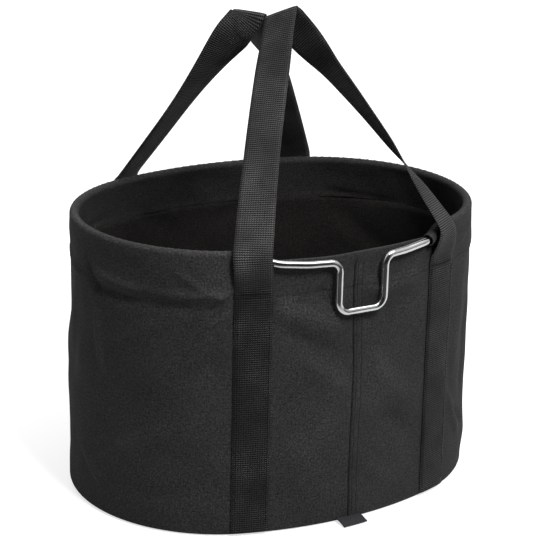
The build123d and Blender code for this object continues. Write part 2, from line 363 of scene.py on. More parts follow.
def stitches(name, runs, pitch, length, radius):
    """Short thread humps along runs of (points, outward normals), joined in one piece."""
    arch = np.array([(-0.5, -0.9), (-0.42, -0.1), (-0.2, 0.45), (0.2, 0.45), (0.42, -0.1), (0.5, -0.9)])
    thick = np.array([0.45, 0.9, 1, 1, 0.9, 0.45]) * radius
    sides = 6
    angle = np.arange(sides) / sides * TAU
    points, faces = [], []
    for line, normals in runs:
        gone = distances(line)
        places = np.arange(pitch * 0.6, gone[-1] - pitch * 0.4, pitch)
        run = unit(sample(places + 0.5, gone, line) - sample(places - 0.5, gone, line))
        out = sample(places, gone, normals)
        out = unit(out - run * (out * run).sum(1)[:, None])
        for p, r, o in zip(sample(places, gone, line), run, out):
            path = p + arch[:, :1] * length * r + arch[:, 1:] * radius * o
            shape = np.cos(angle)[:, None] * np.cross(r, o) + np.sin(angle)[:, None] * o
            ring = path[:, None] + shape[None] * thick[:, None, None]
            faces += capped_tube(len(arch), sides, len(points) * ring[..., 0].size)
            points.append(ring.reshape(-1, 3))
    return make_mesh(name, np.concatenate(points), faces)


# ---- materials --------------------------------------------------------------------
class Nodes:
    """A small helper that builds the node tree of a material or a world."""

    def __init__(self, name, owners=bpy.data.materials, shader="Principled BSDF"):
        self.owner = owners.new(name)
        self.owner.use_nodes = True
        self.tree = self.owner.node_tree
        self.shader = self.tree.nodes[shader]

    def add(self, kind, settings=None, **inputs):
        node = self.tree.nodes.new(kind)
        for key, value in (settings or {}).items():
            setattr(node, key, value)
        for key, value in inputs.items():
            self.put(node.inputs[key.replace("_", " ")], value)
        return node

    def put(self, socket, value):
        """Links or sets a socket; a colour that goes into a vector loses its alpha."""
        if hasattr(value, "is_output"):
            self.tree.links.new(value, socket)
            return
        if socket.type == "VECTOR":
            value = value[:3]
        socket.default_value = value

    def math(self, kind, a, b=0.0):
        node = self.add("ShaderNodeMath", {"operation": kind})
        self.put(node.inputs[0], a)
        self.put(node.inputs[1], b)
        return node.outputs[0]

    def times(self, first, *others):
        for other in others:
            first = self.math("MULTIPLY", first, other)
        return first

    def plus(self, first, *others):
        for other in others:
            first = self.math("ADD", first, other)
        return first

    def dot(self, vector, way):
        node = self.add("ShaderNodeVectorMath", {"operation": "DOT_PRODUCT"})
        self.put(node.inputs[0], vector)
        self.put(node.inputs[1], way)
        return node.outputs["Value"]

    def noise(self, vector, scale, detail=3.0, rough=0.55):
        node = self.add("ShaderNodeTexNoise", Vector=vector, Scale=scale, Detail=detail)
        node.inputs["Roughness"].default_value = rough
        return node.outputs["Fac"]

    def stretched_noise(self, pair, x, y, detail=3.0):
        """Noise drawn out along one direction of the cloth, for single threads."""
        mapped = self.add("ShaderNodeMapping", {}, Vector=pair, Scale=(x, y, 1)).outputs[0]
        return self.noise(mapped, 1.0, detail)

    def remap(self, value, low, high, new_low, new_high, kind="LINEAR"):
        return self.add("ShaderNodeMapRange", {"interpolation_type": kind}, Value=value, From_Min=low,
                        From_Max=high, To_Min=new_low, To_Max=new_high).outputs["Result"]

    def blend(self, share, a, b):
        node = self.add("ShaderNodeMix", {"data_type": "RGBA"})
        self.put(node.inputs["Factor"], share)
        self.put(node.inputs[6], a)
        self.put(node.inputs[7], b)
        return node.outputs[2]

    def scaled(self, colour, factor):
        """A colour times a number."""
        node = self.add("ShaderNodeVectorMath", {"operation": "SCALE"})
        self.put(node.inputs[0], colour)
        self.put(node.inputs["Scale"], factor)
        return node.outputs[0]

    def bump(self, height, distance, strength):
        node = self.add("ShaderNodeBump", Height=height, Distance=distance, Strength=strength)
        return node.outputs["Normal"]

    def cloth_place(self):
        """The cloth coordinates in millimetres: the pair, then u and v apart."""
        pair = self.add("ShaderNodeTexCoord").outputs["UV"]
        split = self.add("ShaderNodeSeparateXYZ", Vector=pair)
        return pair, split.outputs["X"], split.outputs["Y"]

    def object_place(self):
        return self.add("ShaderNodeTexCoord").outputs["Object"]

    def worn(self):
        return self.add("ShaderNodeAttribute", {"attribute_name": "worn"}).outputs["Fac"]

    def finish(self, colour, roughness, normal=None, **more):
        self.put(self.shader.inputs["Base Color"], colour)
        self.put(self.shader.inputs["Roughness"], roughness)
        if normal is not None:
            self.put(self.shader.inputs["Normal"], normal)
        for key, value in more.items():
            self.put(self.shader.inputs[key.replace("_", " ")], value)
        return self.owner


def cloth_material(name, colour, light_colour, thread, sheen, rough=0.82):
    """A plain-woven coated cloth: over-and-under threads, slubs, and a grainy paler tone where the mesh's
    attribute marks it.
    """
    n = Nodes(name)
    pair, u, v = n.cloth_place()
    turn = TAU / (2 * thread)
    over = n.times(n.math("SINE", n.times(u, turn)), n.math("SINE", n.times(v, turn)))
    weft = n.stretched_noise(pair, 0.12, 1.5)
    warp = n.stretched_noise(pair, 1.5, 0.12)
    grain = n.noise(pair, 0.62, 3.0, 0.7)
    patch = n.noise(n.object_place(), 16.0, 4.0)
    slub = n.plus(n.times(weft, 0.5), n.times(warp, 0.5))
    tone = n.times(n.remap(slub, 0.36, 0.64, 0.64, 1.38), n.remap(grain, 0.32, 0.68, 0.38, 1.62),
                   n.remap(patch, 0.3, 0.7, 0.84, 1.18), n.remap(over, -1, 1, 0.86, 1.14))
    pale_mix = n.times(n.worn(), n.remap(grain, 0.35, 0.7, 0.45, 1.0))
    base = n.scaled(n.blend(pale_mix, colour, light_colour), tone)
    height = n.plus(n.times(over, 0.5), n.times(slub, 1.4), n.times(grain, 1.2))
    normal = n.bump(height, 0.00016, 0.75)
    return n.finish(base, n.remap(patch, 0.3, 0.7, rough - 0.05, rough + 0.07), normal,
                    Specular_IOR_Level=0.16, Sheen_Weight=sheen, Sheen_Roughness=0.5,
                    Sheen_Tint=(0.95, 0.97, 1.0, 1))


def webbing_material(name, colour, light_colour):
    """Ribbed polypropylene webbing: rounded ribs of plaited warp, with a flat selvedge."""
    n = Nodes(name)
    pair, u, v = n.cloth_place()
    rib = n.math("COSINE", n.times(v, TAU / rib_pitch))
    row = n.math("FLOOR", n.math("DIVIDE", v, rib_pitch))
    lean = n.plus(n.times(u, TAU / 1.9), n.times(row, math.pi), n.times(v, TAU / rib_pitch * 0.5))
    plait = n.math("SINE", lean)
    fibre = n.stretched_noise(pair, 4.5, 0.6, 2.0)
    patch = n.noise(n.object_place(), 34.0, 2.0)
    # painted shade: the tone darkens the rib valleys and the gaps between plaited strands; fibre and
    # patch vary it at random
    tone = n.times(n.remap(rib, -1, 0.7, 0.22, 1.35), n.remap(plait, -1, 1, 0.4, 1.5),
                   n.remap(fibre, 0.3, 0.7, 0.84, 1.16), n.remap(patch, 0.34, 0.66, 0.7, 1.35))
    edge = n.remap(n.math("ABSOLUTE", u), strap_width / 2 - 2.2, strap_width / 2 - 0.2, 0.0, 1.0)
    # rib crests made paler in patches: partly rubbing, partly painted highlight; the mix below adds them
    # to a paler selvedge and the mesh's painted light
    lighter_share = n.times(n.remap(rib, 0.0, 0.9, 0.0, 1.0), n.remap(plait, 0.1, 0.9, 0.0, 1.0),
                     n.remap(n.noise(n.object_place(), 21.0, 2.0), 0.42, 0.6, 0.2, 1.0))
    pale_mix = n.plus(n.times(edge, 0.1), n.plus(n.worn(), lighter_share))
    base = n.scaled(n.blend(pale_mix, colour, light_colour), tone)
    normal = n.bump(n.plus(n.times(rib, 0.55), n.times(plait, 0.4), n.times(fibre, 0.35)), 0.0003, 0.8)
    return n.finish(base, n.remap(fibre, 0.3, 0.7, 0.5, 0.66), normal,
                    Specular_IOR_Level=0.26, Sheen_Weight=0.01, Sheen_Roughness=0.4)


def twill_material(name, colour, thread=0.8, rough=0.7):
    """Fine diagonal ribs, for binding tape, thread and the tag."""
    n = Nodes(name)
    at = n.object_place()
    x, y, z = n.add("ShaderNodeSeparateXYZ", Vector=at).outputs
    rib = n.math("SINE", n.times(n.plus(x, n.plus(y, z)), TAU / (thread * MM)))
    grain = n.noise(at, 900.0, 2.0)
    tone = n.times(n.remap(rib, -1, 1, 0.78, 1.15), n.remap(grain, 0.3, 0.7, 0.8, 1.2))
    normal = n.bump(n.plus(rib, grain), 0.0001, 0.6)
    return n.finish(n.scaled(colour, tone), rough, normal, Specular_IOR_Level=0.4)


def grey(value, warm=0.0):
    """A linear colour, slightly warm or cool."""
    return (value * (1 + warm), value, value * (1 - warm), 1)


shell_look = cloth_material("coated_cloth", grey(0.0185), grey(0.04, 0.01), 0.62, 0.012)
lining_look = cloth_material("lining_cloth", grey(0.0095, 0.05), grey(0.02), 0.5, 0.008, 0.78)
# the shell cloth again, darker, for the inside of the roll and wall: painted shade
inside_shade_look = cloth_material("shell_cloth_painted_shade", grey(0.0155, 0.03), grey(0.03), 0.6, 0.01)
# the webbing's paler second colour is the one that its painted light on the free legs and crest blends
# towards
webbing_look = webbing_material("webbing", grey(0.0066), grey(0.05, 0.02))
tape_look = twill_material("binding_tape", grey(0.02))
thread_look = twill_material("thread", grey(0.011, -0.04), 0.35, 0.55)
# near-black thread for the seam's painted shadow
seam_shadow_thread_look = twill_material("seam_shadow_thread", grey(0.0025), 0.35, 0.7)
tag_look = twill_material("tag_weave", grey(0.02, -0.05), 0.6, 0.5)


def chrome_material():
    """Bright chrome plate with a faint drawn grain and finger marks."""
    n = Nodes("rod_chrome")
    at = n.object_place()
    marks = n.noise(at, 60.0, 5.0)
    grain = n.noise(at, 1500.0, 2.0)
    rough = n.plus(n.remap(marks, 0.42, 0.72, 0.06, 0.17), n.times(grain, 0.02))
    tint = n.scaled((0.9, 0.905, 0.915, 1), n.remap(marks, 0.3, 0.7, 0.86, 1.0))
    normal = n.bump(n.plus(marks, n.times(grain, 0.2)), 0.00005, 0.25)
    return n.finish(tint, rough, normal, Metallic=1.0)


def board_material():
    """Pebbled black moulded sheet, for the stiffening board."""
    n = Nodes("board_plastic")
    at = n.object_place()
    pebble = n.add("ShaderNodeTexVoronoi", Vector=at, Scale=900.0).outputs["Distance"]
    patch = n.noise(at, 20.0, 3.0)
    colour = n.scaled(grey(0.02), n.remap(patch, 0.3, 0.7, 0.85, 1.15))
    return n.finish(colour, n.remap(patch, 0.3, 0.7, 0.5, 0.62), n.bump(pebble, 0.0002, 0.5))


def give(piece, look, body="basket", stands_for=()):
    """Material, slot, body and replaced nodes of a piece."""
    piece.data.materials.clear()
    piece.data.materials.append(look)
    if stands_for:
        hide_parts(*stands_for)
    if body:
        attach(piece, body)
    return piece


# ---- wall, rim roll and turned-in hem, as one closed sheet --------------------------
columns = 560
wall_s = np.arange(columns) / columns * around - around / 2
# denser near the rear seam, so that its groove has real depth
pull = 1 - 0.62 * np.exp(-((wall_s / 16) ** 2))
wall_s = np.cumsum(pull)
wall_s = (wall_s - wall_s[0]) / (wall_s[-1] + pull[0] - wall_s[0]) * around - around / 2
wall_s = wall_s - wall_s[np.argmin(np.abs(wall_s - seam_s))] + seam_s


def rim_profile(s):
    """Centre (offset, height) and radius of the rim's roll at s."""
    bare = bare_share(s)
    radius = roll_radius + (1.25 - roll_radius) * bare
    height = roll_height + (edge_height - 1.2 - roll_height) * bare
    sag = 0.9 * np.sin(np.asarray(s) / 21.0) * bare + 0.35 * np.sin(np.asarray(s) / 9.0 + 1) * bare
    centre = -radius - tuck(s)
    return centre, height + sag * 0.5, radius


def make_outer_cloth():
    """Rows of points from the foot up the wall, over the roll and down inside to the foot."""
    s = wall_s[:, None]
    centre, top, radius = (a[:, None] for a in rim_profile(wall_s))
    grids, worn = [], []

    def add(offset, z, lighter_share=0.0):
        shape = np.broadcast_shapes(np.shape(offset), np.shape(z), s.shape)
        grids.append(place(s, np.broadcast_to(z, shape), np.broadcast_to(offset, shape)))
        worn.append(np.broadcast_to(lighter_share, shape))

    # the rounded foot
    for a in np.radians(np.linspace(-90, -10, 6)):
        z = foot_round * (1 + math.sin(a))
        add(wall_offset(s, z) - foot_round * (1 - math.cos(a)), z, 0.25)
    # the wall, up to the middle of the roll
    rows = 100
    for k in range(rows):
        share = k / (rows - 1)
        z = foot_round + (top - foot_round) * share
        merge = smooth(0.955, 1.0, share)
        ridge = np.clip(folds(s, z) * 0.10, 0, 0.35)
        add(wall_offset(s, z) * (1 - merge) + (centre + radius) * merge, z, ridge + 0.12 * merge)
    # over the roll, with the cloth's slight puckers across it
    pucker = 0.16 * np.sin(wall_s * TAU / 7.3 + 2 * np.sin(wall_s / 31))[:, None]
    pucker = pucker + 0.12 * np.sin(wall_s * TAU / 3.9 + np.sin(wall_s / 17))[:, None]
    for a in np.radians(np.linspace(12, 180, 13)):
        fat = radius + pucker * math.sin(a) * (1 - bare_share(s))
        add(centre + fat * math.cos(a), top + fat * math.sin(a), 0.25 + 0.45 * math.sin(a) ** 2)
    # down the inside, to the hem's edge; from halfway over the roll on, the inside gets a darker copy of
    # the shell cloth as painted shade
    first_inner = len(grids) - 7
    rows = 20
    inner_low = -2.3
    for k in range(1, rows):
        share = k / (rows - 1)
        z = top + (facing_bottom - top) * share
        high = centre - radius
        loose = 0.5 * waves(middle_waves, -s, z) * math.sin(math.pi * share)
        curve = (1 - share) ** 1.6
        add(inner_low + wall_offset(s, z) * 0.7 + (high - inner_low) * curve + loose, z)
    add(inner_low + 0.1 + wall_offset(s, facing_bottom) * 0.7, facing_bottom - 0.6)
    add(inner_low + 1.1 + wall_offset(s, facing_bottom) * 0.7, facing_bottom - 0.5)
    # the wall's inner face, down to the foot
    for z in np.linspace(facing_bottom - 3, 5, 26):
        add(wall_offset(s, z) - 1.3, z)
    add(wall_offset(s, 2) - foot_round - 0.4, 1.0)
    points = np.concatenate(grids, 1)
    v = distances(points[0])
    v = np.append(v, v[-1] + 1)
    u = np.append(wall_s, wall_s[0] + around)
    piece = grid_piece("outer_cloth", points, u, v, True, True, np.concatenate(worn, 1))
    give(piece, shell_look, stands_for=("shell", "rim_tunnel", "rim_facing"))
    # painted shade: the inside faces get the darker copy of the shell cloth
    piece.data.materials.append(inside_shade_look)
    inside = np.zeros(points.shape[:2], np.int32)
    inside[:, first_inner:] = 1
    piece.data.polygons.foreach_set("material_index", inside.ravel())


# ---- the rod's line at the two mouths ----------------------------------------------
def convolved(padded, kernel):
    """Rows of numbers smoothed with a kernel, shorter by its length less one."""
    kernel = kernel / kernel.sum()
    return np.stack([np.convolve(column, kernel, "valid") for column in padded.T], -1)


def rod_line(side):
    """Centre line of the rod from the roll out to the bare stretch, by Gaussian rounding."""
    def bare(x):
        at, out = oval(np.array(side * side_radius * math.asin(x / side_radius)))
        return np.append(at + out * 4.2, bare_height + 3.2 * smooth(40, 68, x))

    ends = end_radius - roll_radius
    start_angle = math.acos((100.0 - end_centre) / ends)
    arc = [np.array([side * (end_centre + ends * math.cos(a)), -ends * math.sin(a), roll_height])
           for a in np.linspace(start_angle - 0.35, start_angle, 12)]
    along = np.array([-side * math.sin(start_angle), -math.cos(start_angle), 0])
    inner = arc[-1] + along * 8.0
    key = np.array(arc + [inner, bare(68.0), bare(45.0)])
    gone = distances(key)
    line = sample(np.arange(0, gone[-1], 0.5), gone, key)
    reach = 24
    kernel = np.exp(-((np.arange(-reach, reach + 1) * 0.5 / 4.6) ** 2) / 2)
    padded = np.pad(line, ((reach, reach), (0, 0)), mode="edge")
    padded[:reach] = line[0] + (line[0] - line[1]) * np.arange(reach, 0, -1)[:, None]
    return convolved(padded, kernel)


def make_mouth(side, mouth, name):
    """The short sleeve of cloth that lets the rod out of the roll, with a rolled lip."""
    line = rod_line(side)
    keep = (np.abs(line[:, 0]) >= abs(mouth)) & (np.abs(line[:, 0]) <= 110)
    line = line[keep]
    gone = distances(line)
    total = gone[-1]
    flare = smooth(total - 9, total, gone)
    radii = 3.75 + 0.55 * smooth(2, 14, gone) + 0.75 * flare
    radii = radii + 0.12 * np.sin(gone * 1.7) * smooth(4, 12, gone)
    sides = 26
    outer = tube_points(line, radii, sides)
    run = unit(line[-1] - line[-3])
    side_way = unit(np.cross(run, (0, 0, 1.0)))
    turn = np.arange(sides)[:, None] / sides * TAU
    ring = np.cos(turn) * side_way - np.sin(turn) * np.cross(side_way, run)
    lip = [line[-1] + run * 0.55 * math.sin(a) + ring * (radii[-1] - 0.55 * (1 - math.cos(a)))
           for a in np.radians([30, 65, 100, 140])]
    inner = tube_points(line, np.maximum(radii - 1.1, 3.15), sides)[::-1]
    points = np.concatenate([outer, lip, inner])
    u = np.arange(len(points) + 1) * 0.5
    v = np.linspace(0, TAU * 4.4, sides + 1)
    worn = np.zeros(points.shape[:2])
    worn[len(outer) - 6:len(outer) + 4] = 0.45
    give(grid_piece(name, points, u, v, True, True, worn), shell_look)


# ---- lining, tapes, base -----------------------------------------------------------
def closed_band(name, outer, thickness, bottom, top, look, stands_for,
                s_low=None, s_high=None, loose=0.0):
    """A thin closed band of cloth inside the wall, all round or between two places."""
    whole = s_low is None
    places = wall_s[::2] if whole else np.linspace(s_low, s_high, 24)
    s = places[:, None]
    rows = max(6, int((top - bottom) / 6))
    rising = np.linspace(bottom, top, rows)
    heights = np.concatenate([rising, rising[::-1]])
    grids = []
    for k, z in enumerate(heights):
        billow = loose * (waves(middle_waves, -s, z) + 0.6 * waves(broad_waves, -s, z))
        billow = np.minimum(billow * math.sin(math.pi * (z - bottom) / (top - bottom)), 0.2)
        face = outer if k < rows else outer - thickness
        grids.append(place(s, z, wall_offset(s, z) + face + billow))
    u = np.append(places, places[0] + around if whole else places[-1])
    piece = grid_piece(name, np.concatenate(grids, 1), u, np.append(heights, bottom), whole, True,
                       caps=not whole)
    give(piece, look, stands_for=stands_for)


def make_disc(name, offset, bottom, top, edge, look, stands_for, dome=0.0):
    """An oval sheet with a rounded edge; dome raises its top face slightly, unevenly."""
    at, out = oval(wall_s[::3])
    grids = []
    shares = [0.02, 0.2, 0.4, 0.6, 0.75, 0.87, 0.95]

    def ring(share, z, inset=0.0):
        flat = (at + out * (offset - inset)) * share
        height = z + dome * (1 - share) * (1 + 0.35 * np.sin(flat[:, 0] / 19 + flat[:, 1] / 27))
        grids.append(np.concatenate([flat, np.broadcast_to(height, len(flat))[:, None]], 1)[:, None])

    for share in shares:
        ring(share, bottom)
    for a in np.radians([-90, -45, 0, 45, 90]):
        middle = (bottom + top) / 2
        ring(1.0, middle + (top - bottom) / 2 * math.sin(a), edge * (1 - math.cos(a)))
    for share in shares[::-1]:
        ring(share, top)
    points = np.concatenate(grids, 1)
    rows, count = points.shape[:2]
    faces = grid_faces(rows, count, True, False)[0].tolist()
    faces.append([k * count for k in range(rows)][::-1])
    faces.append([k * count + count - 1 for k in range(rows)])
    flat = points.reshape(-1, 3)
    uvs = flat[np.concatenate(faces)][:, :2]
    give(make_mesh(name, flat, faces, uvs), look, stands_for=stands_for)


# ---- webbing handles ---------------------------------------------------------------
def turned(degrees):
    """A level direction, in degrees about Z from +X."""
    return np.array([math.cos(math.radians(degrees)), math.sin(math.radians(degrees)), 0.0])


leg_pull = 0.33
leg_top = 0.93
rim_clear = 235.5
fold_radius = 2.4


def leg(top, crest_line, side, sign, stand_off, inward, bow, turns):
    """Key points of one strap leg from its foot to below the crest.

    inward is how far the leg has moved in along X at the rim, and bow how far it
    bulges outwards on its way to the crest.  turns lists (share of the leg,
    direction across the ribbon in degrees about Z).
    Gives the centres, the directions across and the heights on the wall, and the foot's place.
    """
    x = side * strap_x + strap_shift
    foot_s = side_s(x, sign)
    rim_s = side_s(x - side * inward, sign)
    at, out = oval(np.array(foot_s))
    rim_at, rim_out = oval(np.array(rim_s))
    on_wall = math.degrees(math.atan2(-sign * out[0], sign * out[1])) - (180 if side > 0 else 0)
    centres, across, wall_z = [], [], []

    def key(centre, way, z):
        centres.append(centre)
        across.append(way)
        wall_z.append(z)

    for z in np.arange(strap_foot, hinge_height + 0.1, 1.0):
        key(np.append(at + out * (float(wall_offset(foot_s, z)) + 1.0), z), turned(on_wall), z)
    rise = rim_clear - hinge_height
    for share, off in ((0.2, 0.3), (0.4, 0.62), (0.6, 0.88), (0.8, 1.0)):
        low = at + out * max(stand_off * off, 1.2)
        flat = low * (1 - share) + (rim_at + rim_out * stand_off * off) * share
        way = turned(on_wall + (turns[0][1] - on_wall) * smooth(0.3, 1.0, share))
        key(np.append(flat, hinge_height + share * rise), way, hinge_height + share * rise)
    rim = np.append(rim_at + rim_out * stand_off, rim_clear)
    chord = top - rim
    outward = np.array([side * bow, 0.0, 0.0])
    b, c = rim + chord * leg_pull + outward, top - chord * leg_pull + outward
    for t in np.linspace(0, leg_top, 120):
        point = rim * (1 - t) ** 3 + 3 * b * t * (1 - t) ** 2 + 3 * c * t * t * (1 - t) + top * t**3
        way = turned(np.interp(t, *zip(*turns)))
        share = smooth(turns[-1][0], leg_top, t)
        key(point, unit(way * (1 - share) + unit(crest_line) * share), rim_clear)
    return [np.array(a, float) for a in (centres, across, wall_z)], foot_s


def gaussian(values, sigma, mask):
    """Values smoothed along their rows; mask is how much of the smoothing to keep."""
    reach = int(3 * sigma)
    kernel = np.exp(-((np.arange(-reach, reach + 1) / sigma) ** 2) / 2)
    soft = convolved(np.pad(values, ((reach, reach), (0, 0)), mode="edge"), kernel)
    return values * (1 - mask) + soft * mask


def handle_line(sign, crest, crest_line, stand_off, left, right):
    """A handle's middle line from foot to foot.

    Gives rows of points, directions across, widths, heights on the wall and 0 to 1 from
    the left leg to the right one; then the distance of each row, the crest's distance and
    both feet's places on the oval.
    """
    over = unit((-crest_line[1], crest_line[0], 0))
    up = unit(np.cross(crest_line, over))
    (c0, a0, z0), left_s = leg(crest - over * fold_radius, crest_line, -1, sign, stand_off, *left)
    (c1, a1, z1), right_s = leg(crest + over * fold_radius, crest_line, 1, sign, stand_off, *right)
    bend = np.linspace(0, math.pi, 15)[:, None]
    fold = crest - over * fold_radius * np.cos(bend) + up * fold_radius * np.sin(bend)
    ones = np.ones(len(bend))
    centres = np.concatenate([c0, fold, c1[::-1]])
    across = np.concatenate([a0, ones[:, None] * unit(crest_line), a1[::-1]])
    widths = np.concatenate([np.full(len(c0), strap_width), ones * np.linalg.norm(crest_line),
                             np.full(len(c1), strap_width)])
    wall_z = np.concatenate([z0, ones * rim_clear, z1[::-1]])
    part = np.concatenate([np.zeros(len(c0)), ones * 0.5, np.ones(len(c1))])
    gone = distances(centres)
    fine = np.linspace(0, gone[-1], int(gone[-1] / (rib_pitch / 4)) + 1)
    rows = [sample(fine, gone, a.reshape(len(gone), -1)) for a in (centres, across, widths, wall_z, part)]
    return rows, fine, gone[len(c0) + len(bend) // 2], left_s, right_s


def make_handle(name, sign, crest, crest_line, stand_off, left, right, nodes):
    """One handle with its two sewn legs, as a single ribbed ribbon folded over its crest."""
    rows, fine, top_gone, left_s, right_s = handle_line(
        sign, np.array(crest, float), np.array(crest_line, float), stand_off, left, right)
    centre, way, width, height, part = rows
    near_crest = np.exp(-(((fine - top_gone) / 9.0) ** 2))[:, None]
    free_share = smooth(hinge_height - 2, hinge_height + 10, height)
    centre = gaussian(centre, 8.0, free_share * (1 - near_crest))
    centre = gaussian(centre, 2.5, near_crest * free_share)
    way = gaussian(way, 16.0, free_share * (1 - near_crest))
    width = gaussian(width, 8.0, np.ones_like(width))

    run = unit(np.gradient(centre, axis=0))
    square = unit(way - run * (way * run).sum(1)[:, None])
    way = unit(square * (1 - near_crest) + unit(way) * near_crest)
    face = unit(np.cross(way, run))

    # the cross-section: two faces and two rounded selvedges
    flat = np.linspace(-1, 1, 9)
    ring_u = np.concatenate([flat, -flat])[::-1]
    ring_n = np.repeat([-1.0, 1.0], len(flat))
    edge_in = 1 - 0.35 * (np.abs(ring_u) > 0.99)
    rib = 0.5 + 0.5 * np.cos(fine / rib_pitch * TAU)
    thick = (strap_half_thickness - 0.12) * edge_in + 0.16 * rib[:, None] * (np.abs(ring_u) < 0.93)
    cup = 0.35 * np.sin(fine / 37.0)[:, None] * ring_u**2 * free_share
    local_u = ring_u * width / 2
    local_n = ring_n * thick + cup
    free = centre[:, None] + way[:, None] * local_u[..., None] + face[:, None] * local_n[..., None]

    # the sewn part hugs the wall's curve
    wall_at = np.where(part < 0.5, left_s, right_s)
    tangent = np.pad(oval(wall_at + 1.0)[0] - oval(wall_at)[0], ((0, 0), (0, 0), (0, 1)))[:, 0]
    turn_s = np.sign((way * tangent).sum(1))[:, None]
    turn_n = np.sign((face * flat_out(wall_at)[:, 0]).sum(1))[:, None]
    hug_s = wall_at + turn_s * local_u
    z = np.minimum(height, hinge_height + 14)
    middle_offset = wall_offset(wall_at, z)
    beside_offset = wall_offset(hug_s, np.broadcast_to(z, hug_s.shape))
    hug_offset = np.maximum(beside_offset * 0.6 + middle_offset * 0.4, middle_offset - 0.6)
    hug_offset = hug_offset + 0.95 + turn_n * ring_n * thick
    hugging = place(hug_s, np.broadcast_to(height, hug_s.shape), hug_offset)
    points = hugging * (1 - free_share[..., None]) + free * free_share[..., None]

    u = np.append(ring_u, ring_u[0]) * strap_width / 2
    # painted light: the free legs, the left one more than the right, and the crest are made paler where
    # light falls on them; the sewn parts keep the dark colour
    worn = (0.44 - 0.2 * part) * smooth(hinge_height - 4, hinge_height + 28, height) + 0.2 * near_crest
    worn = worn * np.ones_like(local_u)
    piece = grid_piece(name, points, fine, u, False, True, worn, caps=True, swap=True)
    give(piece, webbing_look, body=None, stands_for=nodes)
    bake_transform(piece)


# ---- stitching ---------------------------------------------------------------------
def wall_run(s, z, lift):
    """A run on the wall's face and its outward normals."""
    return place(s, z, wall_offset(s, z) + lift), flat_out(s)


def make_stitching():
    """The rows beside the rear seam, a near-black stitch run down its groove as painted shadow, the hem's
    row and the straps' edges.
    """
    seam_runs = []
    for shift in seam_rows:
        z = np.linspace(6, edge_height - 2.5, 240)
        seam_runs.append(wall_run(seam_s + shift + 0 * z, z, 0.12))
    piece = stitches("seam_stitches", seam_runs, 3.4, 2.7, 0.3)
    give(piece, thread_look)
    # painted shadow: a near-black thread run down the middle of the seam's groove darkens the seam line
    z = np.linspace(3, edge_height - 2.5, 240)
    piece = stitches("seam_shadow_stitch", [wall_run(seam_s + 0 * z, z, 0.75)], 2.2, 2.1, 0.42)
    give(piece, seam_shadow_thread_look)

    s = np.linspace(-around / 2, around / 2, 900)
    line, out = wall_run(s, np.full(len(s), facing_bottom + 1.6), 0.10)
    apart = np.min([np.abs(wrapped(s, middle)) for middle in strap_places], axis=0)
    clear = apart > strap_width / 2 + 1.5
    cuts = np.flatnonzero(np.diff(clear.astype(int)) != 0) + 1
    parts = [part for part in np.split(np.arange(len(s)), cuts) if clear[part[0]] and len(part) > 6]
    piece = stitches("hem_stitches", [(line[part], out[part]) for part in parts], 3.6, 2.6, 0.26)
    give(piece, thread_look)

    strap_runs = []
    for middle in strap_places:
        for edge in (-1, 1):
            z = np.linspace(8, hinge_height - 5, 200)
            s = middle + edge * (strap_width / 2 - 1.9) + 0 * z
            line = place(s, z, wall_offset(np.full(len(z), middle), z) + 1.72)
            strap_runs.append((line, flat_out(s)))
    piece = stitches("strap_stitches", strap_runs, 3.2, 2.5, 0.27)
    give(piece, thread_look)


def make_bar_tacks():
    """Dense zigzag stitching across each sewn leg."""
    points, faces = [], []
    sides = 5
    u = np.linspace(-12.2, 12.2, 90)
    z = hinge_height - 2.5 + 1.3 * np.where(np.arange(len(u)) % 2, 0.5, -0.5)
    for middle in strap_places:
        line = place(middle + u, z, wall_offset(np.full(len(u), middle), z) + 1.82)
        faces += capped_tube(len(u), sides, len(points) * len(u) * sides)
        points.append(tube_points(line, 0.24, sides).reshape(-1, 3))
    piece = make_mesh("bar_tack_threads", np.concatenate(points), faces)
    give(piece, thread_look, stands_for=("bar_tacks",))


# ---- tag ---------------------------------------------------------------------------
def make_tag():
    """The plain woven tag: a folded loop of tape, slightly curled, with a raised border."""
    root_y = tag_high[1]
    tip_y = tag_low[1]
    middle = (tag_low[0] + tag_high[0]) / 2
    wide = (tag_high[0] - tag_low[0]) / 2
    across_count = 22
    t = np.linspace(0, 1, 26)
    line_y = root_y + (tip_y - root_y) * t
    line_z = 3.2 + (0.95 - 3.2) * t + 0.5 * np.sin(math.pi * t) ** 2
    u = np.linspace(-1, 1, across_count)
    grids = []
    for face, order in ((0.42, u), (-0.42, u[::-1])):
        for k in order:
            border = 0.12 * (abs(k) > 0.86)
            curl = 0.35 * k * t**2 + 0.25 * (k**2) * t
            lift = face * (1 - 0.5 * (t > 0.99)) + math.copysign(border, face)
            x = middle + k * wide + 0 * t
            z = np.maximum(line_z + curl + lift, 0.06)
            grids.append(np.stack([x, line_y, z], -1)[:, None])
    piece = grid_piece("woven_tag", np.concatenate(grids, 1), np.append(t * 18, 18),
                       np.linspace(0, 44, 2 * across_count + 1), False, True, caps=True)
    give(piece, tag_look, stands_for=("tag",))


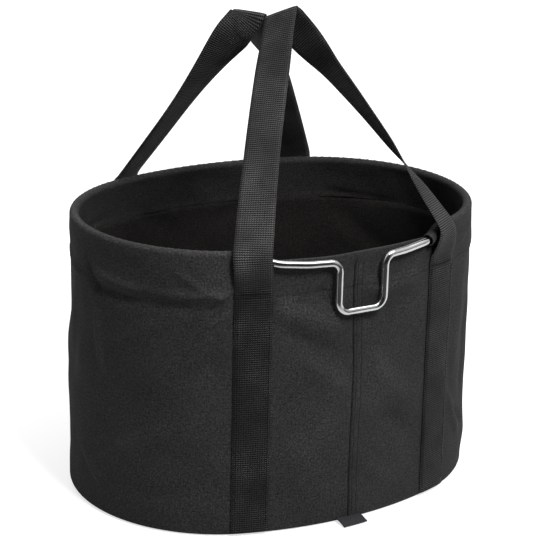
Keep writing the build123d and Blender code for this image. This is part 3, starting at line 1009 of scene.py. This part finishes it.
# ---- build -------------------------------------------------------------------------
make_outer_cloth()
make_mouth(1, mouth_right, "tunnel_mouth_right")
make_mouth(-1, mouth_left, "tunnel_mouth_left")
closed_band("inner_lining", -1.65, 0.6, tape_high[2] + 0.6, facing_bottom + 1.2, lining_look,
            ("lining",), loose=-0.45)
closed_band("base_tape", -1.6, 0.9, tape_low[2], tape_high[2], tape_look,
            ("base_seam_tape",))
closed_band("seam_tape", -2.7, 0.9, tape_high[2] + 1, facing_bottom - 0.8, tape_look,
            ("rear_seam_tape",), s_low=-12, s_high=10)
make_disc("base_cloth", -3.6, 0.0, 1.5, 0.7, shell_look, ("base_panel",))
make_disc("base_inner", -3.2, base_lining_low[2], base_lining_high[2], 0.3, lining_look,
          ("base_lining",), dome=0.7)
rear_left = (-2.6, 3.2, [(0, -32), (0.2, -50), (0.38, -57), (0.53, -59), (0.76, -62)])
rear_right = (1.0, 7.5, [(0, -144), (0.08, -138), (0.19, -131), (0.29, -114), (0.37, -101),
                         (0.53, -92), (0.7, -80)])
front_left = (9.0, 0.0, [(0, 26), (0.17, 24), (0.43, 21), (0.54, 16), (0.64, 7), (0.76, -10),
                         (0.86, -34)])
front_right = (0.0, 2.0, [(0, -197), (0.3, -198), (0.52, -196), (0.6, -168), (0.66, -122),
                          (0.73, -90), (0.82, -80)])
make_handle("rear_webbing", -1, (-4.4, -12.0, 395.5), (16, -23, 12), 7.3, rear_left, rear_right,
            ("rear_handle", "rear_left_strap", "rear_right_strap"))
make_handle("front_webbing", 1, (-17.5, 17.0, 391.5), (13, -29, 0), 3.4, front_left, front_right,
            ("front_handle", "front_left_strap", "front_right_strap"))
make_stitching()
make_bar_tacks()
make_tag()

for node, look in (("frame_ring", chrome_material()), ("base_board", board_material())):
    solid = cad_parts[node]
    solid.data.materials.clear()
    solid.data.materials.append(look)

# ---- stage, light and camera ---------------------------------------------------------
floor_mesh = bpy.data.meshes.new("floor")
floor_corners = [(x, y, -0.0004) for x, y in ((-9, -9), (9, -9), (9, 9), (-9, 9))]
floor_mesh.from_pydata(floor_corners, [], [(0, 1, 2, 3)])
floor = bpy.data.objects.new("floor", floor_mesh)
bpy.context.collection.objects.link(floor)


def floor_material():
    """Pale matt paper; a little glow seen only directly keeps it near white round the object.

    Painted reflection: for mirror rays only, the floor turns dark in a patch in front of the object, so
    the rod keeps a dark core.
    """
    n = Nodes("pale_floor")
    at = n.object_place()
    grain = n.noise(at, 3.0, 4.0)
    paths = n.add("ShaderNodeLightPath")
    # painted reflection: a dark patch in front of the object, seen by mirror rays only
    forward = n.dot(at, (-0.507, -0.862, 0.0))
    mirror_dark_patch = n.times(n.remap(forward, 0.22, 0.5, 0.0, 0.95), paths.outputs["Is Glossy Ray"])
    shade = n.times(n.remap(grain, 0.3, 0.7, 0.985, 1.015), n.math("SUBTRACT", 1.0, mirror_dark_patch))
    return n.finish(n.scaled(grey(0.4), shade), 0.9, Specular_IOR_Level=0.05, Emission_Color=(1, 1, 1, 1),
                    Emission_Strength=n.times(paths.outputs["Is Camera Ray"], 0.68))


floor_mesh.materials.append(floor_material())


def lamp(name, kind, watts, at, aim, **settings):
    """A light at one point, aimed at another."""
    data = bpy.data.lights.new(name, kind)
    data.energy = watts
    for key, value in settings.items():
        setattr(data, key, value)
    light = bpy.data.objects.new(name, data)
    light.location = at
    light.rotation_mode = "QUATERNION"
    light.rotation_quaternion = (Vector(aim) - Vector(at)).to_track_quat("-Z", "Y")
    light.visible_glossy = kind == "SUN"
    bpy.context.collection.objects.link(light)


lamp("key", "AREA", 86, (0.15, -1.65, 1.95), (0, 0, 0.15), size=0.7)
lamp("side_fill", "AREA", 3, (-2.2, -1.0, 0.9), (0, 0, 0.15), size=1.4)
lamp("back_fill", "AREA", 30, (0.5, 2.4, 1.3), (0, 0, 0.12), size=1.2)
# even light with very soft shadows over the whole floor
lamp("overhead", "SUN", 1.0, (0.66, -0.6, 3.0), (0, 0, 0), angle=math.radians(50))


def make_world():
    """A white studio: brightest overhead, greyer towards the horizon, with a dark gap in front."""
    n = Nodes("studio", bpy.data.worlds, "Background")
    way = n.add("ShaderNodeTexCoord").outputs["Generated"]
    rise = n.add("ShaderNodeSeparateXYZ", Vector=way).outputs["Z"]
    rise = n.remap(rise, -0.05, 0.75, 0.19, 0.66, "SMOOTHSTEP")
    forward = n.dot(way, Vector((-0.47, -0.84, 0.27)).normalized())
    gap = n.remap(forward, 0.45, 0.74, 1.0, 0.06, "SMOOTHSTEP")
    n.put(n.shader.inputs["Strength"], n.times(rise, gap))
    n.put(n.shader.inputs["Color"], (1, 1, 1, 1))
    return n.owner


bpy.context.scene.world = make_world()

camera_azimuth = math.radians(-30.465)
camera_elevation = math.radians(20.34)
camera_pitch = math.radians(1.945)
camera_roll = math.radians(1.393)
camera_distance = 1.5528
camera_aside = -0.0012
camera_lens = 120.3011                    # millimetres, for a 36 mm wide sensor
aim_point = Vector((0, 0, 0.1185))
back = Vector((math.sin(camera_azimuth) * math.cos(camera_elevation),
               -math.cos(camera_azimuth) * math.cos(camera_elevation),
               math.sin(camera_elevation)))
right = (-back).cross(Vector((0, 0, 1))).normalized()
up_way = right.cross(-back)
ahead = -back * math.cos(camera_pitch) + up_way * math.sin(camera_pitch)
above = up_way * math.cos(camera_pitch) + back * math.sin(camera_pitch)
rolled_right = right * math.cos(camera_roll) + above * math.sin(camera_roll)
rolled_above = above * math.cos(camera_roll) - right * math.sin(camera_roll)
camera_data = bpy.data.cameras.new("camera")
camera_data.sensor_width = 36.0
camera_data.lens = camera_lens
camera = bpy.data.objects.new("camera", camera_data)
turn = Matrix((rolled_right, rolled_above, -ahead)).transposed().to_4x4()
camera_place = aim_point + right * camera_aside + back * camera_distance
camera.matrix_world = Matrix.Translation(camera_place) @ turn
bpy.context.collection.objects.link(camera)
bpy.context.scene.camera = camera
bpy.context.scene.view_settings.view_transform = "Standard"
